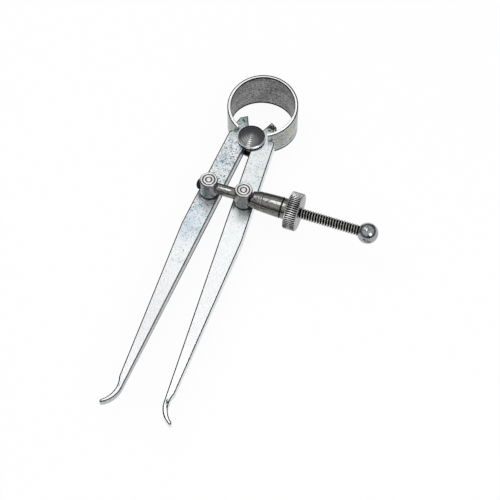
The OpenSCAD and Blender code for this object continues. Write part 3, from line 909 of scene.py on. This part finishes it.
def finish_of(name, bright, dull, roughness, worn_roughness, fleck_scale, cover, stretch, grain_scale,
              bump=0.15, streak=(0.86, 0.87, 0.88), patina=(0.84, 0.86, 0.85), depth_colour=None,
              thin_out=None, tints=(), wear_and_sheen=(), specks=(), metallic=1.0, specular=0.5):
    """Metal finish in layers: a bright colour, duller flecks, broad patches of patina, a few dark pits and
    brushed streaks. Roughness follows the flecks and a bump the streaks. A depth colour paints grooves and
    pips by the piece's own depth attribute: painted shade where it is dark, a painted highlight where it is
    light.
    Between the two places along Y in mm that thin_out gives, flecks and patina lose most of their cover, a
    painted shade that is heaviest at the first place, and between those of a tint its colour comes in.
    Patches of wear, painted sheen and painted highlight, and dark specks, lie round places in mm."""
    material = bpy.data.materials.new(name)
    material.use_nodes = True
    tree = material.node_tree
    link = tree.links.new
    shader = tree.nodes["Principled BSDF"]
    shader.inputs["Metallic"].default_value = metallic
    shader.inputs["Specular IOR Level"].default_value = specular
    here = add(tree, "ShaderNodeTexCoord").outputs["Object"]
    flecks = add(tree, "ShaderNodeGroup", {"Scale": fleck_scale, "Cover": cover}, node_tree=FLECKS)
    patches = add(tree, "ShaderNodeGroup", {"Scale": PATINA_SCALE, "Cover": PATINA_COVER}, node_tree=FLECKS)
    pits = add(tree, "ShaderNodeGroup", {"Scale": PIT_SCALE, "Cover": PIT_COVER}, node_tree=FLECKS)
    grain = add(tree, "ShaderNodeGroup", {"Stretch": stretch, "Scale": grain_scale}, node_tree=GRAIN)
    for group in (flecks, patches, pits, grain):
        link(here, group.inputs["Vector"])
    colour = layer(tree, bright, flecks.outputs["Mask"], dull)
    colour = layer(tree, colour, patches.outputs["Mask"], patina, "MULTIPLY")
    colour = layer(tree, colour, grain.outputs["Shade"], streak, "MULTIPLY")
    colour = layer(tree, colour, pits.outputs["Mask"], PIT_COLOUR)
    if thin_out or tints:
        parts = add(tree, "ShaderNodeSeparateXYZ")
        link(here, parts.inputs[0])
    # Painted shade: flecks and patina thin out along Y, so the surface is darker toward the first place
    if thin_out:
        for group, start in ((flecks, cover), (patches, PATINA_COVER)):
            fade = add(tree, "ShaderNodeMapRange", {
                "From Min": thin_out[0] * MM, "From Max": thin_out[1] * MM,
                "To Min": start, "To Max": start * THIN_SHARE})
            link(parts.outputs["Y"], fade.inputs["Value"])
            link(fade.outputs["Result"], group.inputs["Cover"])
    for start, end, tint in tints:
        near = add(tree, "ShaderNodeMapRange", {"From Min": start * MM, "From Max": end * MM},
                   interpolation_type="SMOOTHSTEP")
        link(parts.outputs["Y"], near.inputs["Value"])
        colour = layer(tree, colour, near.outputs["Result"], tint, "MULTIPLY")
    # Patches of wear, painted sheen and painted highlight round places
    for place_mm, reach, tint, blend in wear_and_sheen:
        colour = layer(tree, colour, near_place(tree, here, place_mm, reach), tint, blend)
    for place_mm, reach, most in specks:
        spots = add(tree, "ShaderNodeGroup", {"Scale": SPECK_SCALE}, node_tree=FLECKS)
        link(here, spots.inputs["Vector"])
        link(near_place(tree, here, place_mm, reach, most), spots.inputs["Cover"])
        colour = layer(tree, colour, spots.outputs["Mask"], PIT_COLOUR)
    # Painted shade in grooves where the depth colour is dark, painted highlight where it is light
    if depth_colour:
        depth = add(tree, "ShaderNodeAttribute", attribute_name="depth")
        colour = layer(tree, colour, depth.outputs["Fac"], depth_colour)
    rough = add(tree, "ShaderNodeMapRange", {"To Min": roughness, "To Max": worn_roughness})
    relief = add(tree, "ShaderNodeBump", {"Strength": bump, "Distance": BUMP_DEPTH})
    link(colour, shader.inputs["Base Color"])
    link(flecks.outputs["Mask"], rough.inputs["Value"])
    link(rough.outputs["Result"], shader.inputs["Roughness"])
    link(grain.outputs["Height"], relief.inputs["Height"])
    link(relief.outputs["Normal"], shader.inputs["Normal"])
    return material


# Legs: painted shade where their flecks thin out toward the joint and where the lower legs are tinted
PLATED = {label: finish_of(f"{label}_leg_plated_face", (0.90, 0.92, 0.92), (0.05, 0.10, 0.14), 0.28, 0.42,
                           1700, cover, (1.0, 0.3, 1.0), 2600, patina=patina, wear_and_sheen=LEG_SHEEN[label],
                           thin_out=LEG_THIN_OUT, tints=LEG_TINTS,
                           specks=(ANKLE_SPECKS[label], HOOK_SPECKS[label]))
          for label, cover, patina in (("left", 0.46, (0.68, 0.79, 0.83)),
                                       ("right", 0.34, (0.89, 0.93, 0.94)))}
# Lit and shaded copies of one ground steel: the left leg's darker sides are painted shade where they face
# the gap between the legs, and the right leg's paler sides are painted light
GROUND = {label: finish_of(f"{label}_leg_ground_side", bright, dull, 0.3, 0.46, 1300, 0.4,
                           (1.0, 0.15, 1.0), 3200)
          for label, bright, dull in (("left", (0.54, 0.555, 0.565), (0.34, 0.36, 0.38)),
                                      ("right", (0.86, 0.88, 0.89), (0.60, 0.63, 0.65)))}
# Black with no reflection: painted shade on rounded edges, in lines along the feet of the legs' and bow's
# sides and the bow's front inner edge, at the posts' feet, under the fulcrum head's rim and on the screw's
# stub; at the sleeve and the nut it is their dark joint
DARK_EDGE = finish_of("dark_edge", (0.025, 0.027, 0.03), (0.01, 0.01, 0.01), 0.4, 0.6, 1300, 0.4,
                      (1.0, 0.3, 1.0), 3200, metallic=0.0, specular=0.0)
# Paler painted shade on the edge roundings of the left leg's shank
GREY_EDGE = finish_of("leg_grey_edge", (0.12, 0.125, 0.13), (0.05, 0.05, 0.055), 0.4, 0.6, 1300, 0.4,
                      (1.0, 0.3, 1.0), 3200, metallic=0.0, specular=0.0)
RIM = finish_of("bow_bright_rim", (0.90, 0.90, 0.90), (0.66, 0.67, 0.68), 0.24, 0.36, 1600, 0.15,
                (1.0, 1.0, 1.0), 3000)
BOW_INSIDE = finish_of("bow_dark_inside", (0.36, 0.36, 0.355), (0.17, 0.17, 0.175), 0.4, 0.6, 1500, 0.5,
                       (0.1, 0.1, 1.0), 1000, streak=(0.5, 0.5, 0.51), patina=(0.72, 0.72, 0.73))
BOW_OUTSIDE = finish_of("bow_polished_outside", (0.50, 0.52, 0.51), (0.16, 0.18, 0.17), 0.28, 0.42, 1500,
                        0.45, (0.1, 0.1, 1.0), 1000, streak=(0.66, 0.67, 0.64), wear_and_sheen=[BOW_STREAK])
# Its light depth colour is a painted highlight on the head's rings and pip, and its patch is a painted
# highlight
GUNMETAL = finish_of("fulcrum_dark_steel", (0.065, 0.065, 0.07), (0.03, 0.03, 0.033), 0.16, 0.28, 1300, 0.35,
                     (1.0, 1.0, 0.3), 3400, depth_colour=(0.62, 0.64, 0.63), wear_and_sheen=[HEAD_HIGHLIGHT])
SLEEVE = finish_of("sleeve_gunmetal", (0.24, 0.235, 0.225), (0.06, 0.057, 0.06), 0.09, 0.2, 1300, 0.42,
                   (0.3, 1.0, 1.0), 3400)
# Its black depth colour is painted shade in the head's grooves
HEAD = finish_of("post_bright_head", (0.86, 0.86, 0.84), (0.58, 0.58, 0.56), 0.2, 0.34, 1600, 0.3,
                 (1.0, 1.0, 1.0), 3400, depth_colour=(0.04, 0.04, 0.04))
POST_BODY = finish_of("post_grey_body", (0.26, 0.26, 0.265), (0.05, 0.05, 0.055), 0.16, 0.3, 1400, 0.45,
                      (1.0, 1.0, 0.2), 3000)
# Its black depth colour is painted shade in the thread's grooves
THREAD = finish_of("screw_thread_steel", (0.66, 0.65, 0.63), (0.38, 0.37, 0.36), 0.2, 0.32, 1600, 0.3,
                   (0.2, 1.0, 1.0), 3000, depth_colour=(0.008, 0.008, 0.008))
# Its black depth colour is painted shade in the knurl's grooves
KNURL = finish_of("nut_knurled_rim", (0.76, 0.76, 0.75), (0.44, 0.44, 0.44), 0.24, 0.36, 1500, 0.3,
                  (1.0, 1.0, 1.0), 3000, depth_colour=(0.008, 0.008, 0.008))
NUT_FACE = finish_of("nut_smooth_face", (0.28, 0.295, 0.305), (0.16, 0.175, 0.185), 0.28, 0.42, 1400, 0.35,
                     (0.3, 1.0, 1.0), 3000)
NUT_EDGE = finish_of("nut_rim_edge", (0.50, 0.50, 0.49), (0.26, 0.26, 0.26), 0.24, 0.36, 1500, 0.3,
                     (1.0, 1.0, 1.0), 3000)
CHROME = finish_of("ball_polished", (0.38, 0.39, 0.395), (0.08, 0.085, 0.09), 0.05, 0.12, 300, 0.4,
                   (1.0, 1.0, 1.0), 2600, bump=0.03)


# Pieces

for side, label in ((-1, "left"), (1, "right")):
    body = f"{label}_leg_body"
    half = dress(bow_half(f"bow_{label}_half", side), [RIM, BOW_INSIDE, BOW_OUTSIDE, DARK_EDGE],
                 bow_faces, flat_first=True)
    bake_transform(half)
    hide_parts("bow_spring")

    plate = dress(leg(f"{label}_leg_plate", side), [PLATED[label], GROUND[label], DARK_EDGE, GREY_EDGE],
                  leg_faces, flat_first=True)
    place(plate, body, f"{label}_leg")

    post_body = "screw_post" if side < 0 else "sleeve_post"
    hole = SCREW_DIAMETER / 2 if side < 0 else BORE_RADIUS
    place(dress(post(f"{label}_post_turned", side, hole), [HEAD, POST_BODY, DARK_EDGE], post_faces),
          post_body, f"{label}_post")
    place(dress(post_washer(f"{label}_post_washer_ring", side), [NUT_FACE]),
          post_body, f"{label}_post_washer")

place(dress(fulcrum_stud(), [GUNMETAL, RIM, DARK_EDGE], stud_faces), "bow", "fulcrum_stud")
place(dress(rear_cap(), [GUNMETAL]), "bow", "fulcrum_rear_cap")
place(dress(adjusting_screw(), [THREAD, SLEEVE, DARK_EDGE], screw_faces),
      "screw_post", "adjusting_screw")
place(dress(ball_end(), [CHROME]), "screw_post", "ball_end")
place(dress(thrust_sleeve(), [SLEEVE, DARK_EDGE], sleeve_faces),
      "sleeve_post", "thrust_sleeve")
place(dress(adjusting_nut(), [KNURL, NUT_FACE, SLEEVE, DARK_EDGE, NUT_EDGE], nut_faces),
      "nut", "adjusting_nut")


# Studio and camera

FLOOR_REACH = 4000
FLOOR_DROP = 0.05
FLOOR_COLOUR = (0.94, 0.94, 0.94)
FLOOR_WHITE_SHARE = 0.93
WALL_LIGHT = 0.1
CEILING_LIGHT = 0.92
CAMERA_AZIMUTH = np.radians(19.41)
CAMERA_ELEVATION = np.radians(59.58)
CAMERA_DISTANCE = 536.8
CAMERA_TARGET = np.array([16.03, -61.06, 8.0])
FOCAL_PIXELS = 1389.8
PHOTO_PIXELS = 500
SENSOR_MM = 36.0


def studio_floor():
    """Square floor under the bow, far larger than the caliper. To the camera and in reflections it shows a
    share of plain white and for the rest the light that falls on it, so that shadows stay soft and pale."""
    corners = FLOOR_REACH * np.array([[-1, -1, 0], [1, -1, 0], [1, 1, 0], [-1, 1, 0]], float)
    floor = new_object("studio_floor", corners - [0, 0, FLOOR_DROP], [[0, 1, 2, 3]])
    material = bpy.data.materials.new("floor_pale")
    material.use_nodes = True
    shader = material.node_tree.nodes["Principled BSDF"]
    shader.inputs["Base Color"].default_value = (*FLOOR_COLOUR, 1)
    shader.inputs["Roughness"].default_value = 0.9
    shader.inputs["Specular IOR Level"].default_value = 0.1
    tree = material.node_tree
    path = add(tree, "ShaderNodeLightPath")
    seen = add(tree, "ShaderNodeMath", operation="MAXIMUM")
    share = add(tree, "ShaderNodeMath", {1: FLOOR_WHITE_SHARE}, operation="MULTIPLY")
    white = add(tree, "ShaderNodeEmission", {"Strength": 1.0})
    mixed = add(tree, "ShaderNodeMixShader")
    tree.links.new(path.outputs["Is Camera Ray"], seen.inputs[0])
    tree.links.new(path.outputs["Is Glossy Ray"], seen.inputs[1])
    tree.links.new(seen.outputs[0], share.inputs[0])
    tree.links.new(share.outputs[0], mixed.inputs[0])
    tree.links.new(shader.outputs[0], mixed.inputs[1])
    tree.links.new(white.outputs[0], mixed.inputs[2])
    tree.links.new(mixed.outputs[0], tree.nodes["Material Output"].inputs["Surface"])
    floor.data.materials.append(material)


def studio_world():
    """Surroundings: plain white where the camera looks past the floor, and for all other rays a soft
    ceiling that falls off to dim walls with the sine of the elevation."""
    world = bpy.data.worlds.new("studio_world")
    bpy.context.scene.world = world
    world.use_nodes = True
    tree = world.node_tree
    back = tree.nodes["Background"]
    back.inputs["Color"].default_value = (1, 1, 1, 1)
    path = add(tree, "ShaderNodeLightPath")
    direction = add(tree, "ShaderNodeTexCoord")
    parts = add(tree, "ShaderNodeSeparateXYZ")
    ceiling = add(tree, "ShaderNodeMapRange", {"From Min": 0.1, "From Max": 0.8, "To Min": WALL_LIGHT,
                                               "To Max": CEILING_LIGHT}, interpolation_type="SMOOTHSTEP")
    level = add(tree, "ShaderNodeMix", {"B": 1.0}, data_type="FLOAT")
    tree.links.new(direction.outputs["Generated"], parts.inputs[0])
    tree.links.new(parts.outputs["Z"], ceiling.inputs["Value"])
    tree.links.new(path.outputs["Is Camera Ray"], level.inputs["Factor"])
    tree.links.new(ceiling.outputs["Result"], level.inputs["A"])
    tree.links.new(level.outputs["Result"], back.inputs["Strength"])


def soft_lamp(name, position, target, width, length, power):
    """Oblong area lamp that faces a target, with places and sizes in mm."""
    light = bpy.data.lights.new(name, "AREA")
    light.shape = "RECTANGLE"
    light.size = width * MM
    light.size_y = length * MM
    light.energy = power
    lamp = bpy.data.objects.new(name, light)
    bpy.context.scene.collection.objects.link(lamp)
    lamp.location = Vector(position) * MM
    lamp.rotation_mode = "QUATERNION"
    lamp.rotation_quaternion = (Vector(target) - Vector(position)).to_track_quat("-Z", "Y")


def photo_camera():
    """Camera that looks at its target from the photograph's azimuth and elevation."""
    camera = bpy.data.objects.new("photo_camera", bpy.data.cameras.new("photo_camera"))
    bpy.context.scene.collection.objects.link(camera)
    back = Vector((np.sin(CAMERA_AZIMUTH) * np.cos(CAMERA_ELEVATION),
                   -np.cos(CAMERA_AZIMUTH) * np.cos(CAMERA_ELEVATION), np.sin(CAMERA_ELEVATION)))
    camera.location = (Vector(CAMERA_TARGET) + back * CAMERA_DISTANCE) * MM
    camera.rotation_mode = "QUATERNION"
    camera.rotation_quaternion = (-back).to_track_quat("-Z", "Y")
    camera.data.sensor_width = SENSOR_MM
    camera.data.lens = FOCAL_PIXELS / PHOTO_PIXELS * SENSOR_MM
    camera.data.clip_start = 0.01
    bpy.context.scene.camera = camera


studio_floor()
studio_world()
soft_lamp("key_softbox", position=(-85, -10, 560), target=(-85, -60, 10), width=70, length=300, power=0.33)
soft_lamp("fill_softbox", position=(-300, 60, 480), target=(10, -60, 10), width=240, length=240, power=0.25)
soft_lamp("side_softbox", position=(420, -320, 380), target=(20, -60, 10), width=300, length=300, power=0.6)
photo_camera()
bpy.context.scene.view_settings.view_transform = "Standard"
